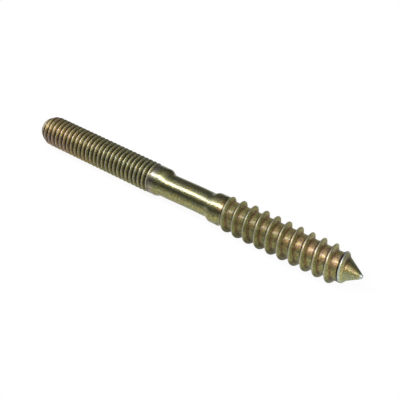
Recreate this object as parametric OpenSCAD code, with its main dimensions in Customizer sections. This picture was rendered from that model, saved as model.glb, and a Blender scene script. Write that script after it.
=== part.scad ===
// Double-ended stud of the hanger bolt kind, turned and rolled from one bar: a metric thread
// at one end, a wood-screw thread with a point at the other, and a thinner plain shank between.
// It lies along X. The origin is on the axis, where the wood thread leaves its collar, and the
// point is towards +X. Lengths are in millimetres.

/* [Machine thread] */
// Diameter over the crests
machine_d = 6; // [5.85:0.05:6.6]
// Distance from one turn to the next
machine_pitch = 1; // [0.8:0.05:1.2]
// Length from the end face to the collar
machine_l = 28.2; // [12:0.1:38]
// Diameter of the flat end face
end_d = 3.8; // [2.6:0.1:4.2]
// Length of the rounded bevel that lets a nut start
bevel_l = 2.4; // [1:0.1:3]
// Length over which the grooves run out at the collar
runout_l = 1; // [0.5:0.1:3]
// Angle round the axis at which the crest meets the end face
machine_start = 37; // [0:1:359]

/* [Middle] */
// Diameter of the two plain collars
collar_d = 5.8; // [5.4:0.05:5.9]
// Length of the collar beside the machine thread
machine_collar_l = 1.5; // [0.8:0.1:5]
// Length of the rounded shoulder from that collar down to the shank
machine_shoulder_l = 1.5; // [0.6:0.1:3]
// Diameter of the plain shank
shank_d = 4.8; // [4.2:0.05:5.1]
// Length of the plain shank between its shoulders
shank_l = 9.7; // [2:0.1:50]
// Length of the rounded shoulder from the shank up to the next collar
wood_shoulder_l = 1.3; // [0.6:0.1:3]
// Length of the collar beside the wood thread
wood_collar_l = 1.7; // [0.8:0.1:5]

/* [Wood thread] */
// Length from the collar to the point
wood_l = 29.1; // [16:0.1:45]
// Diameter over the crests
wood_d = 7; // [6.2:0.05:7.4]
// Diameter at the bottom of the groove
wood_root_d = 5.2; // [4.4:0.05:5.3]
// Distance from one turn to the next
wood_pitch = 2.42; // [2:0.01:3]
// Width of the flat on top of the ridge
wood_crest_w = 0.25; // [0.1:0.05:0.4]
// Turns over which the ridge rises to its full height beside the collar
rise_turns = 2.5; // [1:0.25:3]
// Angle round the axis at which the crest meets the collar
wood_start = 47; // [0:1:359]

/* [Point] */
// Angle between the two sides of the point
point_angle = 61; // [50:1:80]
// Diameter of the blunt end of the point
blunt_d = 0.6; // [0.2:0.05:1]
// Part of the point, from its widest place, over which the last ridge fades
ridge_fade = 0.68; // [0.5:0.02:0.8]

/* [Fineness] */
// Flats round one turn of the machine thread
machine_steps = 24; // [16:1:28]
// Flats round one turn of the wood thread
wood_steps = 30; // [18:1:36]

/* [Hidden] */
$fn = 48;

// Form of both threads: the flanks lean 30 degrees each way
flank_angle = 30;
machine_crest_w = machine_pitch / 8;
machine_depth = 0.6134 * machine_pitch;
machine_r = machine_d / 2;
machine_root_r = machine_r - machine_depth;
wood_r = wood_d / 2;
wood_root_r = wood_root_d / 2;
end_r = end_d / 2;
collar_r = collar_d / 2;
shank_r = shank_d / 2;
blunt_r = blunt_d / 2;

// Each thread's end is sunk this far under the plain surface that it runs into
seat = 0.02;
// Length by which a thread's hidden end reaches into the plain metal
bury_l = 0.5;
// A thread's points nearer than this to its end are drawn onto it
near = 0.001;
// Radius of the bar inside the threads
machine_core_r = machine_root_r - 0.2;
wood_core_r = wood_root_r - 0.2;
// Steps along each rounded shoulder and along the rounded bevel
shoulder_steps = 10;
bevel_steps = 6;
// The ridge rises fast beside the collar: by this power of the distance from it
rise_power = 0.3;
// Height of the last ridge down the point, as [part of its fade, share of full height]
fade_form = [[0, 1], [0.3, 0.35], [0.6, 0.7], [1, 0]];

// Stations along the axis, from the wood thread's collar back to the end face
wood_collar_z = -wood_collar_l;
wood_shoulder_z = wood_collar_z - wood_shoulder_l;
shank_z = wood_shoulder_z - shank_l;
machine_shoulder_z = shank_z - machine_shoulder_l;
machine_collar_z = machine_shoulder_z - machine_collar_l;
end_z = machine_collar_z - machine_l;

function mix(a, b, t) = a + (b - a) * t;
function limit01(t) = min(max(t, 0), 1);
// Goes from 0 to 1 and starts and ends level
function ease(t) = (1 - cos(180 * limit01(t))) / 2;

// Radius of the end's bevel, a quarter wave, and of the point's cone at a station
function bevel_r(z) = mix(end_r, machine_r, sin(90 * limit01((z - end_z) / bevel_l)));
function cone_r(z) = blunt_r + (wood_l - z) * tan(point_angle / 2);
// Stations where the cone has a given radius, and where the bevel has the grooves' radius
function cone_z(r) = wood_l - (r - blunt_r) / tan(point_angle / 2);
bevel_root_z = end_z + bevel_l * asin((machine_root_r - end_r) / (machine_r - end_r)) / 90;
cone_root_z = cone_z(wood_root_r);
// Stations between which the last ridge fades down the point
fade_z = cone_z(wood_r);
faded_z = mix(fade_z, wood_l, ridge_fade);

// Outline of one turn as [part of the pitch, height from 0 at the bottom to 1 on the crest]
function turn_form(pitch, crest_w, depth) =
    let (crest = crest_w / pitch, flank = depth * tan(flank_angle) / pitch)
    [[0, 1], [crest, 1], [crest + flank, 0], [1 - flank, 0], [1, 1]];

// Radius of the machine thread at a station, for a height on its form
function machine_thread_r(z, height) =
    let (full_r = mix(machine_root_r, machine_r, height),
         out = ease((z - machine_collar_z + runout_l) / runout_l),
         sunk = seat * (1 - limit01((z - end_z) / bevel_l)))
    min(mix(full_r, collar_r - seat, out), bevel_r(z) - sunk);

// Radius of the wood thread at a station, for a height on its form
function wood_thread_r(z, height) =
    let (rise = pow(limit01(z / (rise_turns * wood_pitch)), rise_power),
         fade = lookup((z - fade_z) / (faded_z - fade_z), fade_form),
         cone = cone_r(z) - seat,
         crest_r = min(mix(collar_r - seat, wood_r, rise),
                       mix(min(cone, wood_r), wood_r, fade)))
    mix(min(wood_root_r, cone), crest_r, height);

// A threaded length of bar, cut square at z0 and z1. The crest is at angle start at crest_z.
// The points follow the helix, turn after turn, and those past either end are drawn back to
// it, where they fall together.
module threaded_bar(z0, z1, crest_z, start, pitch, steps, form, radius) {
    columns = len(form) - 1;
    rows = ceil(steps * ((z1 - z0) / pitch + 2)) + 1;
    first_angle = start + 360 * (z0 - crest_z) / pitch;
    function at(row, column) =
        column < columns ? row * columns + column : (row + steps) * columns;
    points = [
        for (row = [0:rows - 1], column = [0:columns - 1])
            let (free_z = z0 + pitch * (row / steps - 1 + form[column][0]),
                 z = free_z < z0 + near ? z0 : free_z > z1 - near ? z1 : free_z,
                 turn = (z - z0) / pitch - row / steps + 1,
                 height = lookup(turn - floor(turn), form),
                 r = radius(z, height),
                 angle = first_angle + 360 * (row % steps) / steps)
            [r * cos(angle), r * sin(angle), z]
    ];
    skin = [
        for (row = [0:rows - steps - 2], column = [0:columns - 1])
            let (a = at(row, column), b = at(row + 1, column),
                 c = at(row + 1, column + 1), d = at(row, column + 1))
            each [[a, d, c], [a, c, b]]
    ];
    first_end = [for (row = [0:steps - 1]) at(row, 0)];
    last_end = [for (row = [rows - 1:-1:rows - steps]) at(row, 0)];
    polyhedron(points, concat(skin, [first_end, last_end]), convexity = 10);
}

// The bar as it is turned before the threads go on, with thinner stretches where they go
module blank() {
    function shoulder(z0, z1, r0, r1) = [
        for (i = [0:shoulder_steps])
            [mix(r0, r1, ease(i / shoulder_steps)), mix(z0, z1, i / shoulder_steps)]
    ];
    rotate_extrude()
        polygon(concat(
            [[0, end_z]],
            [for (i = [0:bevel_steps])
                let (z = mix(end_z, bevel_root_z, i / bevel_steps)) [bevel_r(z), z]],
            [[machine_core_r, bevel_root_z], [machine_core_r, machine_collar_z],
             [collar_r, machine_collar_z]],
            shoulder(machine_shoulder_z, shank_z, collar_r, shank_r),
            shoulder(wood_shoulder_z, wood_collar_z, shank_r, collar_r),
            [[collar_r, 0], [wood_core_r, 0], [wood_core_r, cone_root_z],
             [wood_root_r, cone_root_z], [blunt_r, wood_l], [0, wood_l]]
        ));
}

module machine_thread() {
    threaded_bar(
        z0 = mix(end_z, bevel_root_z, 0.5),
        z1 = machine_collar_z + bury_l,
        crest_z = end_z,
        start = machine_start,
        pitch = machine_pitch,
        steps = machine_steps,
        form = turn_form(machine_pitch, machine_crest_w, machine_depth),
        radius = function (z, height) machine_thread_r(z, height)
    );
}

module wood_thread() {
    threaded_bar(
        z0 = -bury_l,
        z1 = mix(faded_z, wood_l, 0.1),
        crest_z = 0,
        start = wood_start,
        pitch = wood_pitch,
        steps = wood_steps,
        form = turn_form(wood_pitch, wood_crest_w, wood_r - wood_root_r),
        radius = function (z, height) wood_thread_r(z, height)
    );
}

module stud() {
    color("darkkhaki")
        rotate([0, 90, 0])
            union() {
                blank();
                machine_thread();
                wood_thread();
            }
}

stud();
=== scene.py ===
import math

import bpy
import numpy as np
from bpy.props import FloatProperty, FloatVectorProperty, IntProperty, PointerProperty
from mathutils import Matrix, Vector


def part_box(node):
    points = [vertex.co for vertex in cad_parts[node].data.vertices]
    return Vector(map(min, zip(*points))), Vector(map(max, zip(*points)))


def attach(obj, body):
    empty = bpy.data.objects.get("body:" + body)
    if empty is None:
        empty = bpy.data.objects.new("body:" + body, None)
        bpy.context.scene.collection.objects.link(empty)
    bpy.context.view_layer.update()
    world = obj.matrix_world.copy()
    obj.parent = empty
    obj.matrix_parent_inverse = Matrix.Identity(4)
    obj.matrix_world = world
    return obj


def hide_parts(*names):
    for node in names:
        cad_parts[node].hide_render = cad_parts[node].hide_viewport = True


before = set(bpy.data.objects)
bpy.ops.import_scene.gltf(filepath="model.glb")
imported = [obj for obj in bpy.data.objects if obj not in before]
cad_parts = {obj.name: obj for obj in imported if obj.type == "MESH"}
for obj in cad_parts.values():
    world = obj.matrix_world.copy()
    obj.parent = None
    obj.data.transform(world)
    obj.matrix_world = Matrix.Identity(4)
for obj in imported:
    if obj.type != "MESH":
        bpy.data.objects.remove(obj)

bl_info = {
    "name": "Double-ended stud",
    "version": (1, 0, 0),
    "blender": (4, 5, 0),
    "location": "3D View > Sidebar > Stud",
    "description": "A hanger-bolt stud in yellow plated steel, and a pale studio for it",
    "category": "Object",
}

MM = 0.001
NODE = "stud"
BODY = "root"
BOX_LOW, BOX_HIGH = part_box(NODE)
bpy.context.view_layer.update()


# ---------------------------------------------------------------- properties


def length(name, description, size, unit=MM):
    """A length property, written in millimetres unless another unit is given."""
    return FloatProperty(
        name=name, description=description, default=size * unit, precision=5,
        unit="LENGTH", subtype="DISTANCE",
    )


def angle(name, description, degrees):
    """An angle property, written in degrees."""
    return FloatProperty(
        name=name, description=description, default=math.radians(degrees),
        unit="ROTATION", subtype="ANGLE",
    )


def share(name, description, value):
    """A property from 0 to 1."""
    return FloatProperty(
        name=name, description=description, default=value, min=0.0, max=1.0,
        subtype="FACTOR",
    )


def colour(name, description, *rgb):
    """A colour property: red, green and blue."""
    return FloatVectorProperty(
        name=name, description=description, default=rgb, size=3, min=0.0, max=1.0,
        subtype="COLOR",
    )


def direction(name, description, *way):
    """A direction property along X, Y and Z."""
    return FloatVectorProperty(
        name=name, description=description, default=way, size=3, subtype="DIRECTION",
    )


class StudSizes(bpy.types.PropertyGroup):
    """Sizes of the stud, along X, from the place where the wood thread leaves its collar."""

    end_x: length("End face", "Place of the machine thread's end face", BOX_LOW.x, 1)
    end_d: length("End face diameter", "Diameter of the flat end face", 3.8)
    bevel_l: length("Bevel", "Length of the rounded bevel at the end face", 2.4)
    machine_d: length("Machine thread", "Diameter over the machine thread's crests", 6)
    machine_pitch: length("Machine pitch", "Distance between the machine thread's turns", 1)
    machine_depth: length("Machine groove", "Depth of the machine thread's groove", 0.6134)
    machine_start: angle("Machine start", "Angle of the crest at the end face", 37)
    runout_l: length("Run-out", "Length over which the machine thread fades", 1)
    machine_collar_x: length("Machine collar", "Where the machine thread ends", -15.7)
    machine_shoulder_x: length("Machine shoulder", "Where that collar ends", -14.2)
    shank_start_x: length("Shank start", "Where the shank begins", -12.7)
    shank_end_x: length("Shank end", "Where the shank ends", -3)
    wood_collar_x: length("Wood collar", "Where the wood thread's collar begins", -1.7)
    collar_d: length("Collars", "Diameter of the two collars", 5.8)
    shank_d: length("Shank", "Diameter of the plain shank", 4.8)
    wood_d: length("Wood thread", "Diameter over its crests", BOX_HIGH.z * 2, 1)
    wood_root_d: length("Wood thread root", "Diameter at the bottom of its groove", 5.2)
    wood_pitch: length("Wood pitch", "Distance between the wood thread's turns", 2.42)
    wood_crest_w: length("Wood crest", "Width of the wood thread's crest", 0.25)
    wood_start: angle("Wood start", "Angle of the crest at the collar", 47)
    tip_x: length("Point", "Place of the point's blunt end", BOX_HIGH.x, 1)
    point_angle: angle("Point angle", "Angle between the two sides of the point", 61)
    blunt_d: length("Blunt end", "Diameter of the blunt end of the point", 0.6)
    ridge_fade: share("Last ridge", "Part of the point over which the last ridge fades", 0.68)
    ring_pitch: length("Turned rings", "Distance between the rings on the point", 0.27)
    ring_depth: length("Ring depth", "Depth of the rings on the point", 0.022)
    shank_off: length("Shank offset", "How far the shank begins off the axis", 0.13)
    wear: length("Wear", "Depth of the deepest dents", 0.035)
    facets: IntProperty(
        name="Facets", description="Flats round the bar", default=96, min=24, max=160
    )


class StudColours(bpy.types.PropertyGroup):
    """Colours of the plating."""

    grey: colour("Grey film", "The thinnest film", 0.23, 0.24, 0.14)
    lime: colour("Lime film", "A thin film", 0.29, 0.285, 0.095)
    gold: colour("Gold film", "A middling film", 0.345, 0.275, 0.10)
    copper: colour("Copper film", "A thicker film", 0.37, 0.22, 0.085)
    rose: colour("Rose film", "A thick film", 0.44, 0.30, 0.21)
    mauve: colour("Mauve film", "The thickest film", 0.30, 0.25, 0.24)
    # The crest colours stand for rubbed film and also paint highlights on the crests; the crest
    # colour also paints the highlight stripe along the shank.
    crest: colour("Crest", "Thin film on the crests", 0.60, 0.58, 0.48)
    last_crest: colour("Last crest", "Bare zinc on the last turn's crest", 0.60, 0.66, 0.66)


class StudioSettings(bpy.types.PropertyGroup):
    """The floor, the light and the camera."""

    azimuth: angle("Azimuth", "Turn of the camera round the stud", 36.37)
    elevation: angle("Elevation", "How far the camera looks down", 40.34)
    camera_place: FloatVectorProperty(
        name="Camera", description="Place of the camera", size=3,
        default=(78.46 * MM, -113.94 * MM, 120.17 * MM), subtype="TRANSLATION", unit="LENGTH",
    )
    lens: FloatProperty(
        name="Lens", description="Focal length in millimetres", default=89.59, unit="CAMERA"
    )
    floor_size: length("Floor", "Radius of the round floor", 1.6, 1)
    floor: colour("Floor colour", "Colour of the floor", 0.92, 0.92, 0.92)
    room: colour("Room colour", "Colour of the room", 0.13, 0.135, 0.15)
    floor_glow: share("Floor glow", "How far the floor shows pure white", 0.95)
    strip_way: direction("Strip light direction", "From the stud to it", 0.0, -0.38, 0.925)
    strip_distance: length("Strip light distance", "From the stud", 0.6, 1)
    strip_w: length("Strip light width", "Its width", 0.135, 1)
    strip_level: FloatProperty(
        name="Strip light level", description="Brightness of its face", default=9
    )
    fill_way: direction("Fill light direction", "From the stud to it", 0.0, 0.09, 1.0)
    fill_distance: length("Fill light distance", "From the stud", 0.66, 1)
    fill_w: length("Fill light width", "Its width", 0.45, 1)
    fill_level: FloatProperty(
        name="Fill light level", description="Brightness of its face", default=0.35
    )
    lights_l: length("Lights' length", "Length of both lights, along the stud", 12, 1)


# ---------------------------------------------------------------- shape

# Both threads' flanks lean 30 degrees. A row of points nearer than this part of a pitch to
# its thread's end is drawn onto it.
FLANK_LEAN = math.tan(math.radians(30))
NEAR_END = 0.012
# Rows of points over half a turn: on its crest, its flank and its root
MACHINE_ROWS = (2, 3, 3)
WOOD_ROWS = (2, 6, 4)
# Rounding at a turn's root and at its crest, as parts of the groove's depth
MACHINE_CORNERS = (0.30, 0.22)
WOOD_CORNERS = (0.22, 0.16)
# Rounding where the bevel cuts the machine thread, and where the point's cone begins
BEVEL_ROUND = 0.06 * MM
CONE_ROUND = 0.05 * MM

# The wood thread's ridge rises beside its collar over some turns, by a power of the distance
RISE_TURNS = 2.5
RISE_POWER = 0.3
# Height of the last ridge: parts of its way down the point, and shares of its full height
FADE_PARTS = (0, 0.3, 0.5, 0.74)
FADE_HEIGHTS = (1, 0.35, 0.6, 0)
# Lengths over which the wood thread leaves its collar, and the turned rings begin
COLLAR_BLEND_L = 0.25 * MM
RINGS_BLEND_L = 0.5 * MM

# Each way is an angle round the bar, from underneath by the back to the top. On its side
# the shoulder by the machine thread lies askew, and the shank begins off the axis. The
# other shoulder is made longer there at both ends, by a share of its length, so that the
# highlight runs on over it.
ASKEW_L, ASKEW_WAY, ASKEW_FADE_L = 0.6 * MM, math.radians(134), 3 * MM
LONGER, LONGER_WAY = 0.6, math.radians(215)
OFF_WAY, OFF_FADE_L = math.radians(314), 7 * MM

# Lengths over which a thread's marks begin and end, and the share of its full height
# under which a ridge is marked less
MARK_END_L = 0.5 * MM
MARK_L = 0.3 * MM
LOW_RIDGE = 0.3

# Dents: how many, how wide in millimetres, how deep as shares of the deepest, how far each
# reaches in its own widths and round the bar, how far their middles keep from the end face
# and from the point, and the lengths there that none touches
DENTS = 90
DENT_W = (0.15, 0.45)
DENT_DEPTH = (0.3, 1.0)
DENT_REACH = 3
DENT_ANGLE = 0.6
DENT_MARGINS = (1.5 * MM, 4 * MM)
WHOLE_ENDS = (0.4 * MM, 0.5 * MM)

# The rim of the end face is rounded, and a cap rounds the blunt end of the point
RIM_L, RIM_W = 0.18 * MM, 0.25 * MM
CAP_L, CAP_POWER = 0.16 * MM, 0.8
# Radius of the smallest ring of points on the end face
INNER_R = 0.2 * MM
# Rings of points on the end face, over each rounded corner, the middle and the point
FACE_ROWS, CORNER_ROWS = 7, 6
MIDDLE_ROWS, POINT_ROWS = 84, 120
# The wood thread's slanting rows stop this far before the point's cone
CONE_MARGIN = 0.3 * MM
# Points that agree this closely, along the bar and in radius, are made one
SAME_X, SAME_R = 1e-9, 1e-8


def mixed(a, b, t):
    """Goes from a to b as t goes from 0 to 1."""
    return a + (b - a) * t


def ease(t):
    """Goes from 0 to 1 and starts and ends level."""
    return (1 - np.cos(np.pi * np.clip(t, 0, 1))) / 2


def soft_min(a, b, k):
    """The lower of the two, with a corner rounded over k."""
    return np.minimum(a, b) - np.maximum(k - np.abs(a - b), 0) ** 2 / (4 * k)


def soft_max(a, b, k):
    """The higher of the two, with a corner rounded over k."""
    return -soft_min(-a, -b, k)


def cone_x(s, radius):
    """Where the point's cone has this radius."""
    return s.tip_x - (radius - s.blunt_d / 2) / math.tan(s.point_angle / 2)


class Thread:
    """One thread's form: where its crest runs and how it rises from its groove."""

    def __init__(self, pitch, crest_w, depth, crest_x, start, rows, corners):
        self.pitch, self.crest_w, self.depth = pitch, crest_w, depth
        self.crest_x, self.start = crest_x, start
        self.places = places_on_turn(pitch, crest_w, depth, *rows)
        self.corners = corners

    def turn(self, around, x):
        """Part of a pitch from the middle of the crest, -0.5 to 0.5."""
        part = (x - self.crest_x - self.crest_w / 2) / self.pitch
        part = part - (around - self.start) / (2 * np.pi)
        return part - np.round(part)

    def height(self, around, x):
        """0 at the bottom of the groove and 1 on the crest."""
        away = np.abs(self.turn(around, x)) * self.pitch - self.crest_w / 2
        flank = 1 - away / (self.depth * FLANK_LEAN)
        root, crest = self.corners
        return soft_max(soft_min(flank, 1.0 + 0 * flank, crest), 0 * flank, root)

    def rows(self, angles, x0, x1):
        """Stations that follow the helix, one row for each place on a turn, held within x0
        and x1. The rows of one more turn make the last facet meet the first."""
        first = math.floor((x0 - self.crest_x) / self.pitch) - 2
        last = math.ceil((x1 - self.crest_x) / self.pitch) + 2
        turns = np.arange(first, last)[:, None] + np.asarray(self.places)[None, :]
        turn = (angles - self.start) / (2 * np.pi)
        x = self.crest_x + self.crest_w / 2 + self.pitch * (turns.ravel()[:, None] + turn)
        near = NEAR_END * self.pitch
        x = np.where(x < x0 + near, x0, x)
        return np.where(x > x1 - near, x1, x)


def places_on_turn(pitch, crest_w, depth, crest_rows, flank_rows, root_rows):
    """Places over one pitch from the middle of the crest, closer where the form bends."""
    crest = crest_w / 2 / pitch
    foot = crest + depth * FLANK_LEAN / pitch
    side = np.concatenate([
        np.linspace(0, crest, crest_rows, endpoint=False),
        crest + (foot - crest) * ease(np.linspace(0, 1, flank_rows, endpoint=False)),
        np.linspace(foot, 0.5, root_rows),
    ])
    return np.concatenate([side, 1 - side[-2:0:-1]])


class Form:
    """Radius of the stud at any angle and station."""

    def __init__(self, s):
        self.s = s
        self.machine = Thread(
            pitch=s.machine_pitch,
            crest_w=s.machine_pitch / 8,  # as on every metric thread
            depth=s.machine_depth,
            crest_x=s.end_x,
            start=s.machine_start,
            rows=MACHINE_ROWS,
            corners=MACHINE_CORNERS,
        )
        self.wood = Thread(
            pitch=s.wood_pitch,
            crest_w=s.wood_crest_w,
            depth=(s.wood_d - s.wood_root_d) / 2,
            crest_x=0.0,
            start=s.wood_start,
            rows=WOOD_ROWS,
            corners=WOOD_CORNERS,
        )

    def bevel(self, x):
        """Radius that the rounded bevel leaves at the end face."""
        s = self.s
        t = (x - s.end_x) / s.bevel_l
        round_off = np.sin(np.pi / 2 * np.clip(t, 0, 1))
        # past the bevel it rises clear of the thread
        return mixed(s.end_d / 2, s.machine_d / 2, round_off) + np.maximum(t - 1, 0) * MM

    def cone(self, x):
        """Radius of the point's cone."""
        s = self.s
        return s.blunt_d / 2 + (s.tip_x - x) * math.tan(s.point_angle / 2)

    def machine_radius(self, turn, x):
        """Radius of the machine thread, which fades into its collar."""
        s = self.s
        full = mixed(s.machine_d / 2 - s.machine_depth, s.machine_d / 2,
                     self.machine.height(turn, x))
        out = ease((x - s.machine_collar_x + s.runout_l) / s.runout_l)
        return soft_min(mixed(full, s.collar_d / 2, out), self.bevel(x), BEVEL_ROUND)

    def middle_radius(self, turn, x):
        """Radius of the collars, the shoulders and the shank."""
        s = self.s
        askew = ASKEW_L * np.cos(turn - ASKEW_WAY) ** 3 * ease(
            (x - s.machine_collar_x) / (s.machine_shoulder_x - s.machine_collar_x))
        askew = askew * (1 - ease((x - s.shank_start_x) / ASKEW_FADE_L))
        at = x - askew
        down = ease((at - s.machine_shoulder_x) / (s.shank_start_x - s.machine_shoulder_x))
        longer = LONGER * np.clip(np.cos(turn - LONGER_WAY), 0, 1) ** 4
        rise = s.wood_collar_x - s.shank_end_x
        up = ease((x - s.shank_end_x + rise * longer) / (rise * (1 + 2 * longer)))
        off = s.shank_off * np.cos(turn - OFF_WAY) * down
        off = off * (1 - ease((x - s.shank_start_x) / OFF_FADE_L))
        return mixed(s.collar_d / 2, s.shank_d / 2, down * (1 - up)) + off

    def wood_radii(self, x):
        """Radius at the bottom of the wood thread's groove and on its crest."""
        s = self.s
        rise = np.clip(x / (RISE_TURNS * s.wood_pitch), 0, 1) ** RISE_POWER
        cone = self.cone(x)
        fade_x = cone_x(s, s.wood_d / 2)
        faded = (x - fade_x) / (s.tip_x - fade_x) / s.ridge_fade
        fade = np.interp(faded, FADE_PARTS, FADE_HEIGHTS)
        crest = np.minimum(mixed(s.collar_d / 2, s.wood_d / 2, rise),
                           mixed(np.minimum(cone, s.wood_d / 2), s.wood_d / 2, fade))
        return soft_min(s.wood_root_d / 2, cone, CONE_ROUND), crest

    def wood_radius(self, turn, x):
        """Radius of the wood thread and of the point, with its turned rings."""
        s = self.s
        root, crest = self.wood_radii(x)
        height = self.wood.height(turn, x)
        rings = (1 + np.cos(2 * np.pi * (s.tip_x - x) / s.ring_pitch)) / 2
        on_point = ease((x - cone_x(s, s.wood_root_d / 2)) / RINGS_BLEND_L)
        rings = s.ring_depth * rings * on_point * (1 - height)
        full = mixed(root, crest, height) - rings
        return mixed(s.collar_d / 2, full, ease(x / COLLAR_BLEND_L))

    def marks(self, turn, x):
        """How far up its ridge a point lies, from 0 to 1, and which way it leans: 1 halfway
        down the side that faces the point and -1 halfway down the other."""
        s = self.s
        root, crest = self.wood_radii(x)
        full = (s.wood_d - s.wood_root_d) / 2
        machine = ease((x - s.end_x) / MARK_END_L) * ease((s.machine_collar_x - x) / MARK_L)
        wood = ease(x / MARK_L) * np.clip((crest - root) / (LOW_RIDGE * full), 0, 1)
        ridge = machine * self.machine.height(turn, x) + wood * self.wood.height(turn, x)
        lean = machine * np.sin(2 * np.pi * self.machine.turn(turn, x))
        lean = lean + wood * np.sin(2 * np.pi * self.wood.turn(turn, x))
        return np.clip(ridge, 0, 1), lean

    def dents(self, turn, x, rng):
        """Depth of the small knocks in the bar."""
        s = self.s
        deep = np.zeros_like(x)
        for _ in range(DENTS):
            at = rng.uniform(s.end_x + DENT_MARGINS[0], s.tip_x - DENT_MARGINS[1])
            way = rng.uniform(0, 2 * np.pi)
            wide = rng.uniform(*DENT_W) * MM
            depth = rng.uniform(*DENT_DEPTH) * s.wear
            off = (turn - way + np.pi) % (2 * np.pi) - np.pi
            near = (np.abs(x - at) < DENT_REACH * wide) & (np.abs(off) < DENT_ANGLE)
            deep[near] += depth * np.exp(
                -((x[near] - at) / wide) ** 2 - (off[near] * s.wood_d / 2 / wide) ** 2)
        return deep


def stud_grids(form, s):
    """The grids of points that make the skin, from the end face to the point. Each has its
    angles, its stations, its radii and, on a thread, the number of rows in one turn."""
    turns = np.arange(s.facets) * 2 * np.pi / s.facets
    grids = []

    def plain(stations, radii=None, radius=None):
        """Rings square to the bar, with given radii or by a function of angle and station."""
        x = np.repeat(np.asarray(stations, float)[:, None], s.facets, 1)
        turn = np.repeat(turns[None, :], len(x), 0)
        r = radius(turn, x) if radii is None else np.repeat(
            np.asarray(radii, float)[:, None], s.facets, 1)
        grids.append((turn, x, r, 0))

    def threaded(thread, x0, x1, radius):
        """Rows that follow a thread."""
        x = thread.rows(turns, x0, x1)
        turn = np.repeat(turns[None, :], len(x), 0)
        grids.append((turn, x, radius(turn, x), len(thread.places)))

    def radius_at(radius, x):
        """One radius, at angle 0."""
        return float(radius(np.zeros(1), np.full(1, x))[0])

    corner = np.linspace(0, np.pi / 2, CORNER_ROWS)
    face_r = s.end_d / 2 - RIM_W
    start_x = s.end_x + RIM_L
    start_r = radius_at(form.machine_radius, start_x)
    plain(
        np.concatenate([
            np.full(FACE_ROWS, s.end_x), s.end_x + RIM_L * (1 - np.cos(corner[1:]))]),
        radii=np.concatenate([
            np.linspace(INNER_R, face_r, FACE_ROWS),
            mixed(face_r, start_r, np.sin(corner[1:]))]),
    )
    threaded(form.machine, start_x, s.machine_collar_x, form.machine_radius)
    plain(np.linspace(s.machine_collar_x, 0.0, MIDDLE_ROWS), radius=form.middle_radius)
    cone_begin = cone_x(s, s.wood_root_d / 2) - CONE_MARGIN
    threaded(form.wood, 0.0, cone_begin, form.wood_radius)
    cap_x = s.tip_x - CAP_L
    plain(np.linspace(cone_begin, cap_x, POINT_ROWS), radius=form.wood_radius)
    cap_r = radius_at(form.wood_radius, cap_x)
    plain(
        s.tip_x - CAP_L * (1 - np.sin(corner[:-1])),
        radii=cap_r * np.cos(corner[:-1]) ** CAP_POWER,
    )
    return grids


def skin(form, grids, s, rng):
    """Joins the grids where they meet and closes both ends. Gives the corners, the faces and
    the marks of each corner."""
    faces, start = [], 0
    parts = []
    for turn, x, r, wrap in grids:
        rows, columns = x.shape
        index = start + np.arange(rows * columns).reshape(rows, columns)
        a, b = index[:-1, :-1], index[1:, :-1]
        c, d = index[1:, 1:], index[:-1, 1:]
        faces.append(np.stack([a, d, c, b], -1).reshape(-1, 4))
        # the last facet meets the first one, which on a thread is one turn on
        k = np.arange(rows - 1 - wrap)
        faces.append(np.stack([
            index[k, -1], index[k + wrap, 0], index[k + 1 + wrap, 0], index[k + 1, -1],
        ], -1))
        column = np.repeat(np.arange(columns)[None, :], rows, 0)
        parts.append([v.ravel() for v in (column, turn, x, r)])
        start += rows * columns
    column, turn, x, r = (np.concatenate([p[i] for p in parts]) for i in range(4))
    key = np.stack([column, np.round(x / SAME_X), np.round(r / SAME_R)], 1)
    _, first, same = np.unique(key, axis=0, return_index=True, return_inverse=True)
    turn, x, r = turn[first], x[first], r[first]
    ridge, lean = form.marks(turn, x)
    inside = (x > s.end_x + WHOLE_ENDS[0]) & (x < s.tip_x - WHOLE_ENDS[1])
    r = r - np.where(inside, form.dents(turn, x, rng), 0)
    polygons = []
    for quad in same.ravel()[np.concatenate(faces)].tolist():
        polygon = [v for i, v in enumerate(quad) if v != quad[i - 1]]
        if len(set(polygon)) > 2:
            polygons.append(polygon)
    corners = np.stack([x, r * np.sin(turn), -r * np.cos(turn)], 1)
    for end, way in ((s.end_x, 1), (s.tip_x, -1)):
        on_end = np.abs(x - x[np.argmin(np.abs(x - end))]) < SAME_X
        ring = np.flatnonzero(on_end & (np.abs(r - r[on_end].min()) < SAME_R))
        ring = ring[np.argsort(turn[ring])].tolist()
        middle = len(corners)
        corners = np.vstack([corners, [[end, 0, 0]]])
        ridge, lean = np.append(ridge, 0), np.append(lean, 0)
        for i, v in enumerate(ring):
            pair = [v, ring[i - 1]]
            polygons.append([middle] + pair[::way])
    return corners, polygons, {"ridge": ridge, "lean": lean}


def new_mesh(name, corners, polygons):
    """Adds a smooth-shaded piece to the scene."""
    mesh = bpy.data.meshes.new(name)
    mesh.from_pydata(corners.tolist(), [], polygons)
    mesh.validate()
    mesh.polygons.foreach_set("use_smooth", np.ones(len(mesh.polygons), bool))
    piece = bpy.data.objects.new(name, mesh)
    bpy.context.scene.collection.objects.link(piece)
    return piece


# ---------------------------------------------------------------- finishes

# Blender's Mix node keeps sockets for each kind of data, and these are a colour's
MIX_FACTOR, MIX_A, MIX_B, MIX_RESULT = 0, 6, 7, 2
# Keeps the distance from the axis, in millimetres, clear of 0 under a division
AXIS_GUARD = 0.01
BUMP_HEIGHT = 0.05 * MM


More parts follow.
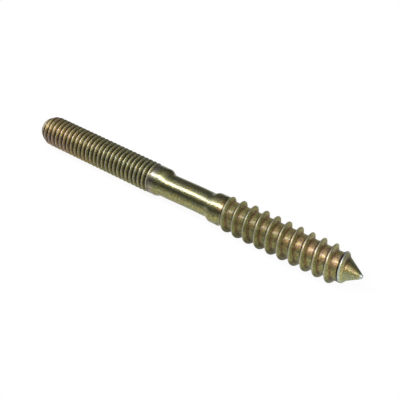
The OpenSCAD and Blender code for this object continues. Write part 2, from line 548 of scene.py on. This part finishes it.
class Socket:
    """A socket of a finish, so that shader maths can be written as expressions."""

    def __init__(self, finish, socket):
        self.finish, self.socket = finish, socket

    def maths(self, operation, a, b):
        return self.finish.node("ShaderNodeMath", {"operation": operation}, {0: a, 1: b})

    def __add__(self, other):
        return self.maths("ADD", self, other)

    def __radd__(self, other):
        return self.maths("ADD", other, self)

    def __sub__(self, other):
        return self.maths("SUBTRACT", self, other)

    def __rsub__(self, other):
        return self.maths("SUBTRACT", other, self)

    def __mul__(self, other):
        return self.maths("MULTIPLY", self, other)

    def __rmul__(self, other):
        return self.maths("MULTIPLY", other, self)

    def __truediv__(self, other):
        return self.maths("DIVIDE", self, other)

    def __rtruediv__(self, other):
        return self.maths("DIVIDE", other, self)

    def __pow__(self, other):
        return self.maths("POWER", self, other)

    def __rpow__(self, other):
        return self.maths("POWER", other, self)

    def between(self, low, high):
        """0 below low and 1 above high, with a soft step."""
        return self.finish.node(
            "ShaderNodeMapRange", {"interpolation_type": "SMOOTHSTEP"},
            {"Value": self, "From Min": low, "From Max": high})


class Finish:
    """A material and the nodes that make it."""

    def __init__(self, name):
        self.material = bpy.data.materials.new(name)
        self.material.use_nodes = True
        self.tree = self.material.node_tree
        self.tree.nodes.clear()

    def node(self, kind, settings=None, values=None, output=0):
        """Adds a node: its settings first, then the values or links of its sockets."""
        node = self.tree.nodes.new(kind)
        for name, value in (settings or {}).items():
            if name == "stops":
                ramp = node.color_ramp.elements
                for stop, (place, rgb) in zip(ramp, (value[0], value[-1])):
                    stop.position, stop.color = place, (*rgb, 1)
                for place, rgb in value[1:-1]:
                    ramp.new(place).color = (*rgb, 1)
            else:
                setattr(node, name, value)
        for name, value in (values or {}).items():
            if isinstance(value, Socket):
                self.tree.links.new(value.socket, node.inputs[name])
            else:
                node.inputs[name].default_value = value
        return Socket(self, node.outputs[output]) if node.outputs else None

    def blended(self, factor, a, b):
        """A colour between a and b."""
        a, b = (v if isinstance(v, Socket) else (*v, 1) for v in (a, b))
        return self.node(
            "ShaderNodeMix", {"data_type": "RGBA"},
            {MIX_FACTOR: factor, MIX_A: a, MIX_B: b}, output=MIX_RESULT)

    def scaled(self, vector, factor):
        """A colour made lighter or darker, or a place in other units."""
        return self.node(
            "ShaderNodeVectorMath", {"operation": "SCALE"}, {0: vector, "Scale": factor})

    def attribute(self, name):
        """A mark of the skin."""
        return self.node("ShaderNodeAttribute", {"attribute_name": name}, output="Fac")

    def noise(self, place, scale, detail, roughness, stretch=(1, 1, 1)):
        """A mottle from 0 to 1, longer along an axis where its stretch is less than 1."""
        at = self.node("ShaderNodeVectorMath", {"operation": "MULTIPLY"}, {0: place, 1: stretch})
        return self.node(
            "ShaderNodeTexNoise", None,
            {"Vector": at, "Scale": scale, "Detail": detail, "Roughness": roughness})

    def done(self, surface):
        """Ends the finish with its shader."""
        self.node("ShaderNodeOutputMaterial", None, {"Surface": surface})
        return self.material


class Patterns:
    """Noises that mottle the film, over a place in millimetres."""

    def __init__(self, finish, mm):
        self.grain = finish.noise(mm, 3.0, 1.5, 0.5)
        self.fleck = finish.noise(mm, 2.4, 2.0, 0.6, (1.1, 1, 1))
        self.cloud = finish.noise(mm, 0.55, 2.0, 0.5)
        self.streak = finish.noise(mm, 1.8, 3.0, 0.6, (0.3, 1, 1))


class Zones:
    """Where the finish changes, and where light and shade are painted: masks that go from 0
    outside to 1 inside.
    """

    def __init__(self, finish, mm, sizes):
        x, y, z = (
            finish.node("ShaderNodeSeparateXYZ", None, {0: mm}, output=axis) for axis in "XYZ"
        )
        self.y, self.z = y, z
        self.from_axis = (y * y + z * z + AXIS_GUARD) ** 0.5
        self.find_stretches(x, sizes)
        self.find_sides()
        self.find_thread_parts(finish.attribute("ridge"), finish.attribute("lean"))

    def find_stretches(self, x, sizes):
        """Stretches along the bar, by stations in millimetres."""
        end, tip = sizes.end_x / MM, sizes.tip_x / MM
        collar = sizes.machine_collar_x / MM
        cone = cone_x(sizes, sizes.wood_root_d / 2) / MM
        self.machine = 1 - x.between(collar - 0.5, collar + 0.3)
        self.wood = x.between(0.5, 0.9)
        self.threads = self.machine + self.wood
        self.plain = 1 - self.threads
        self.cone = x.between(cone - 0.2, cone + 0.6)
        self.to_end = 1 - x.between(end + 0.9, end + 19.9)
        self.to_point = x.between(8.0, 22.0)
        self.last_turn = x.between(cone - 2.2, cone - 0.7)
        self.blunt_end = x.between(tip - 0.6, tip - 0.25)
        self.wood_collar = x.between(-2.0, 0.5)
        self.run_out = x.between(collar - 0.7, collar + 0.1)
        self.run_out = self.run_out * (1 - x.between(collar + 0.4, collar + 1.2))

    def side(self, degrees, low, high):
        """A stripe along the bar, on the side at this angle from the top towards the front.
        It begins at the low cosine of the angle from its middle and is full at the high one."""
        at = math.radians(degrees)
        towards = (self.z * math.cos(at) - self.y * math.sin(at)) / self.from_axis
        return towards.between(low, high)

    def find_sides(self):
        """Stripes along the bar, from the back over the top and the front to underneath. Most
        carry painted light or shade.
        """
        # Painted shade along the back edge at the top.
        self.painted_shade_back_edge = self.side(-45, 0.84, 0.97)
        self.top_back = self.side(-35, 0.55, 0.95)
        # Painted shade on the back of the point's cone.
        self.painted_shade_cone_back = self.cone * self.side(-35, 0.45, 0.85)
        # The upper side, where grooves near the end get painted light: copper-coloured and less
        # dark.
        self.painted_light_groove_side = self.side(20, 0.60, 0.95)
        self.rose_side = self.side(27, 0.74, 0.96)
        # The side where the highlight falls: it gets the coat, and on the wood thread painted
        # shade that dims its highlight.
        self.highlight_side = self.side(30, 0.66, 0.92)
        # Painted highlight on the upper side of the machine thread, near its end.
        self.painted_highlight_end = self.to_end * self.side(32, 0.80, 0.97)
        # Painted highlight: a lighter stripe along the shank where the highlight falls.
        self.painted_highlight_line = self.side(33, 0.965, 0.998) * self.plain
        # Painted highlight on the front of the wood thread near the point.
        self.painted_highlight_point = self.to_point * self.side(54, 0.86, 0.98)
        # Painted shade: a dark band on the front of the shank, standing in for a dark reflection
        # below the highlight.
        self.painted_dark_band = self.side(66, 0.955, 0.99)
        # Painted shade low on the front: the threads are darker there.
        self.painted_shade_low_front = self.side(80, 0.80, 0.97)
        # The lower side: a thinner film on the wood thread, and painted light near the point.
        self.lower = self.side(112, 0.40, 0.90)
        self.lower_end = self.side(122, 0.40, 0.95)
        # Underneath: painted shade on the colour, and less bright crests there.
        self.under = self.side(180, 0.0, 0.45)

    def find_thread_parts(self, ridge, lean):
        """Crests, flanks and grooves, by the marks of the skin, with painted shade in grooves,
        creases and on flanks that face the collar, and painted light on the others.
        """
        self.crest = ridge.between(0.92, 0.99)
        # The foot of the flank that faces the point: copper film, with painted shade.
        self.copper_crease_and_shade = lean.between(0.6, 0.95) * (1 - ridge.between(0.1, 0.45)) * self.wood
        # The flank that faces the point: lime film, and painted light.
        self.lit_flank = lean.between(0.1, 0.5) * ridge.between(0.2, 0.5) * self.wood
        # The flank that faces the collar, by the crest: painted shade.
        self.painted_shade_flank = (0 - lean).between(0.1, 0.5) * ridge.between(0.05, 0.3) * self.wood
        # Grooves of the machine thread: painted shade darkens them.
        self.groove = (1 - ridge.between(0.10, 0.80)) * self.machine
        # Grooves near the end on the upper side: painted light, copper and less dark.
        self.painted_light_grooves = self.groove * self.to_end * self.painted_light_groove_side


def film_thickness(zones, patterns):
    """Thickness of the yellow film, from 0 to 1."""
    speckle = (patterns.fleck.between(0.3, 0.7) - 0.5) * 0.5
    speckle = speckle + (patterns.grain.between(0.3, 0.7) - 0.5) * 0.2
    plain = 0.18 + (patterns.streak - 0.5) * 0.6 + zones.wood_collar * zones.rose_side * 0.25
    end = 0.32 + (patterns.cloud - 0.5) * 0.6 - zones.top_back * 0.10 + zones.lower_end * 0.28
    machine = 0.22 + zones.to_end * end
    wood = 0.34 + zones.to_point * zones.rose_side * 0.28 - zones.cone * 0.26
    wood = wood - zones.lower * 0.12
    film = zones.plain * plain + zones.machine * machine + zones.wood * wood
    return film + speckle * (0.95 + zones.threads * 0.2)


def light_and_dark(zones, patterns):
    """How light the film is, as a share of its colour: painted light and shade by side and by
    part of the thread, and a random grain.
    """
    # Painted shade in the machine thread's grooves, and painted light in the copper grooves near
    # the end.
    light = 1 - zones.groove * 0.78 + zones.painted_light_grooves * 0.06
    # How deep the painted shade on the back edge is, on each stretch.
    back_shade_depth = zones.plain * 0.35 + zones.wood * 0.1 + zones.machine * 0.65
    # Painted highlight on the front near the point, less painted shade on its highlight side.
    point = zones.painted_highlight_point * 0.18 - zones.to_point * zones.highlight_side * 0.12
    for change in (
        # Painted shade on the wood thread's flanks that face the collar.
        1 - zones.painted_shade_flank * 0.9,
        # Painted shade in the creases at the flanks' feet.
        1 - zones.copper_crease_and_shade * 0.3,
        # Painted light on the wood thread's flanks that face the point.
        1 + zones.lit_flank * 0.15,
        # Painted shade on the highlight side of the wood thread, less towards the point.
        1 - (zones.wood - zones.to_point) * zones.highlight_side * 0.30,
        # Painted shade underneath, stronger on the wood thread, not on the point's cone.
        1 - zones.under * (0.25 + zones.wood * 0.4) * (1 - zones.cone),
        # Painted shade: the dark band on the shank below the highlight.
        1 - zones.painted_dark_band * zones.plain * 0.42,
        # Painted shade low on the front of the threads.
        1 - zones.painted_shade_low_front * (zones.threads - zones.cone) * 0.25,
        # Painted shade on the back edge at the top.
        1 - zones.painted_shade_back_edge * back_shade_depth,
        # Painted shade on the back of the cone.
        1 - zones.painted_shade_cone_back * 0.5,
        # Painted highlights near the point and near the end of the machine thread.
        1 + point + zones.painted_highlight_end * 0.25,
        # Painted light on the lower side, near the point.
        1 + zones.to_point * zones.lower * 0.22,
        # More painted shade low on the front of the machine thread, near its end.
        1 - zones.machine * zones.to_end * zones.painted_shade_low_front * 0.12,
        1.20 - patterns.grain.between(0.42, 0.58) * 0.45,
    ):
        light = light * change
    return light


def wear_and_sheen_places(zones, patterns):
    """Where the film is rubbed off: the crests and the blunt end. The crests are also painted
    lighter as highlight, less so underneath and on the back edge, where painted shade keeps them
    darker.
    """
    wear_and_sheen = zones.crest * (0.35 + patterns.grain.between(0.35, 0.65) * 0.65)
    # Painted shade: less bright crests underneath and on the back edge.
    wear_and_sheen = wear_and_sheen * (1 - zones.under * 0.7) * (1 - zones.painted_shade_back_edge * 0.6)
    wear_and_sheen = wear_and_sheen * (1 - zones.wood * 0.5 + zones.to_point * 0.2 + zones.last_turn * 0.2)
    return wear_and_sheen + zones.blunt_end * 0.8


def plated_steel(colours, sizes):
    """Zinc-plated steel under a yellow film, whose colour goes with its thickness, with painted
    light and shade laid on that colour.
    """
    finish = Finish("yellow_plated_steel")
    place = finish.node("ShaderNodeTexCoord", output="Object")
    mm = finish.scaled(place, 1 / MM)
    zones, patterns = Zones(finish, mm, sizes), Patterns(finish, mm)

    stops = (
        (0.0, colours.grey), (0.22, colours.lime), (0.42, colours.gold),
        (0.60, colours.copper), (0.80, colours.rose), (1.0, colours.mauve),
    )
    base = finish.node(
        "ShaderNodeValToRGB", {"stops": stops}, {"Fac": film_thickness(zones, patterns)})
    for mask, tint in (
        (zones.copper_crease_and_shade * 0.75, colours.copper),
        (zones.lit_flank * 0.6, colours.lime),
        (zones.run_out * 0.6, colours.mauve),
        # Painted light: copper grooves near the end on the upper side.
        (zones.painted_light_grooves * 0.8, colours.copper),
    ):
        base = finish.blended(mask, base, tint)
    base = finish.scaled(base, light_and_dark(zones, patterns))
    wear_and_sheen = wear_and_sheen_places(zones, patterns)
    zinc = finish.blended(zones.last_turn, colours.crest, colours.last_crest)
    base = finish.blended(wear_and_sheen, base, zinc)
    # Painted highlight along the shank, in the crest colour.
    base = finish.blended(zones.painted_highlight_line * 0.2, base, colours.crest)

    rough = 0.28 + patterns.grain * 0.06
    rough = rough + zones.wood * (0.26 - zones.to_point * 0.12) + zones.machine * 0.15
    metal = 1 - zones.threads * 0.25 * (1 - wear_and_sheen * 0.6)
    uneven = patterns.grain + patterns.fleck * 0.5 + patterns.streak * 0.3
    height = finish.node(
        "ShaderNodeBump", None,
        {"Strength": 1.0, "Distance": BUMP_HEIGHT,
         "Height": uneven * (0.5 + zones.threads * 0.5)})
    return finish.done(finish.node(
        "ShaderNodeBsdfPrincipled", None,
        {"Base Color": base, "Metallic": metal, "Roughness": rough, "Normal": height,
         "Coat Weight": zones.highlight_side * (1 - zones.threads * 0.4), "Coat Roughness": 0.15,
         "Specular IOR Level": 0.2}))


def floor_paper(studio):
    """Pale paper that keeps shadows and shows nearly white to the camera and in metal."""
    finish = Finish("floor_paper")
    seen, glossy, through = (
        finish.node("ShaderNodeLightPath", output=ray)
        for ray in ("Is Camera Ray", "Is Glossy Ray", "Is Transmission Ray")
    )
    paper = finish.node("ShaderNodeBsdfDiffuse", None, {"Color": (*studio.floor, 1)})
    white = finish.node("ShaderNodeEmission", None, {"Color": (1, 1, 1, 1), "Strength": 1.0})
    whiteness = (seen + glossy + through) * studio.floor_glow
    return finish.done(finish.node(
        "ShaderNodeMixShader", None, {"Fac": whiteness, 1: paper, 2: white}))


# ---------------------------------------------------------------- operators

DENT_SEED = 7
FLOOR_SIDES = 64
# The camera's sensor in millimetres, and the nearest that it sees
SENSOR_W = 36
CLIP_START = 5 * MM


class STUD_OT_make(bpy.types.Operator):
    """Make the stud: its two threads, collars, shank and point, in yellow plated steel"""

    bl_idname = "stud.make"
    bl_label = "Make the stud"

    def execute(self, context):
        sizes = context.scene.stud_sizes
        form = Form(sizes)
        corners, polygons, marks = skin(
            form, stud_grids(form, sizes), sizes, np.random.default_rng(DENT_SEED))
        piece = new_mesh("double_ended_stud", corners, polygons)
        for name, values in marks.items():
            mark = piece.data.attributes.new(name, "FLOAT", "POINT")
            mark.data.foreach_set("value", values.astype(np.float32))
        piece.data.materials.append(plated_steel(context.scene.stud_colours, sizes))
        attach(piece, BODY)
        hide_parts(NODE)
        return {"FINISHED"}


def add_floor(studio):
    """A round floor under the stud."""
    ring = np.array([
        (studio.floor_size * math.cos(a), studio.floor_size * math.sin(a), BOX_LOW.z)
        for a in np.linspace(0, 2 * math.pi, FLOOR_SIDES, endpoint=False)
    ])
    floor = new_mesh("studio_floor", ring, [list(range(FLOOR_SIDES))])
    floor.data.materials.append(floor_paper(studio))


def add_light(name, way, distance, long, wide, level):
    """A long soft light over the stud, in line with it, whose face has this brightness."""
    lamp = bpy.data.lights.new(name, "AREA")
    lamp.shape = "RECTANGLE"
    lamp.size, lamp.size_y = long, wide
    lamp.energy = level * math.pi * long * wide
    holder = bpy.data.objects.new(name, lamp)
    holder.location = Vector(way).normalized() * distance
    holder.rotation_euler = (-math.atan2(holder.location.y, holder.location.z), 0, 0)
    bpy.context.scene.collection.objects.link(holder)


def add_camera(scene, studio):
    """The camera, level across, looking down at the stud."""
    way = Vector((
        -math.sin(studio.azimuth) * math.cos(studio.elevation),
        math.cos(studio.azimuth) * math.cos(studio.elevation),
        -math.sin(studio.elevation),
    ))
    camera = bpy.data.objects.new("camera", bpy.data.cameras.new("camera"))
    camera.data.lens = studio.lens
    camera.data.sensor_width = SENSOR_W
    camera.data.clip_start = CLIP_START
    camera.location = studio.camera_place
    camera.rotation_euler = way.to_track_quat("-Z", "Y").to_euler()
    scene.collection.objects.link(camera)
    scene.camera = camera


class STUD_OT_stage(bpy.types.Operator):
    """Set the stage: the pale floor, the soft lights, the room and the camera"""

    bl_idname = "stud.stage"
    bl_label = "Set the stage"

    def execute(self, context):
        scene, studio = context.scene, context.scene.stud_studio
        add_floor(studio)
        add_light("strip_light", studio.strip_way, studio.strip_distance,
                  studio.lights_l, studio.strip_w, studio.strip_level)
        add_light("fill_light", studio.fill_way, studio.fill_distance,
                  studio.lights_l, studio.fill_w, studio.fill_level)
        world = bpy.data.worlds.new("studio_room")
        world.use_nodes = True
        world.node_tree.nodes["Background"].inputs["Color"].default_value = (*studio.room, 1)
        scene.world = world
        add_camera(scene, studio)
        scene.view_settings.view_transform = "Standard"
        return {"FINISHED"}


class STUD_PT_panel(bpy.types.Panel):
    """Lists the operators and the values that they use"""

    bl_label = "Stud"
    bl_space_type = "VIEW_3D"
    bl_region_type = "UI"
    bl_category = "Stud"

    def draw(self, context):
        for operator in (STUD_OT_make, STUD_OT_stage):
            self.layout.operator(operator.bl_idname)
        for name, group in GROUPS.items():
            box = self.layout.box()
            for value in group.__annotations__:
                box.prop(getattr(context.scene, name), value)


GROUPS = {
    "stud_sizes": StudSizes,
    "stud_colours": StudColours,
    "stud_studio": StudioSettings,
}
CLASSES = (*GROUPS.values(), STUD_OT_make, STUD_OT_stage, STUD_PT_panel)


def register():
    for cls in CLASSES:
        bpy.utils.register_class(cls)
    for name, group in GROUPS.items():
        setattr(bpy.types.Scene, name, PointerProperty(type=group))


def unregister():
    for name in GROUPS:
        delattr(bpy.types.Scene, name)
    for cls in reversed(CLASSES):
        bpy.utils.unregister_class(cls)


def main():
    register()
    bpy.ops.stud.stage()
    bpy.ops.stud.make()


if __name__ == "__main__":
    main()
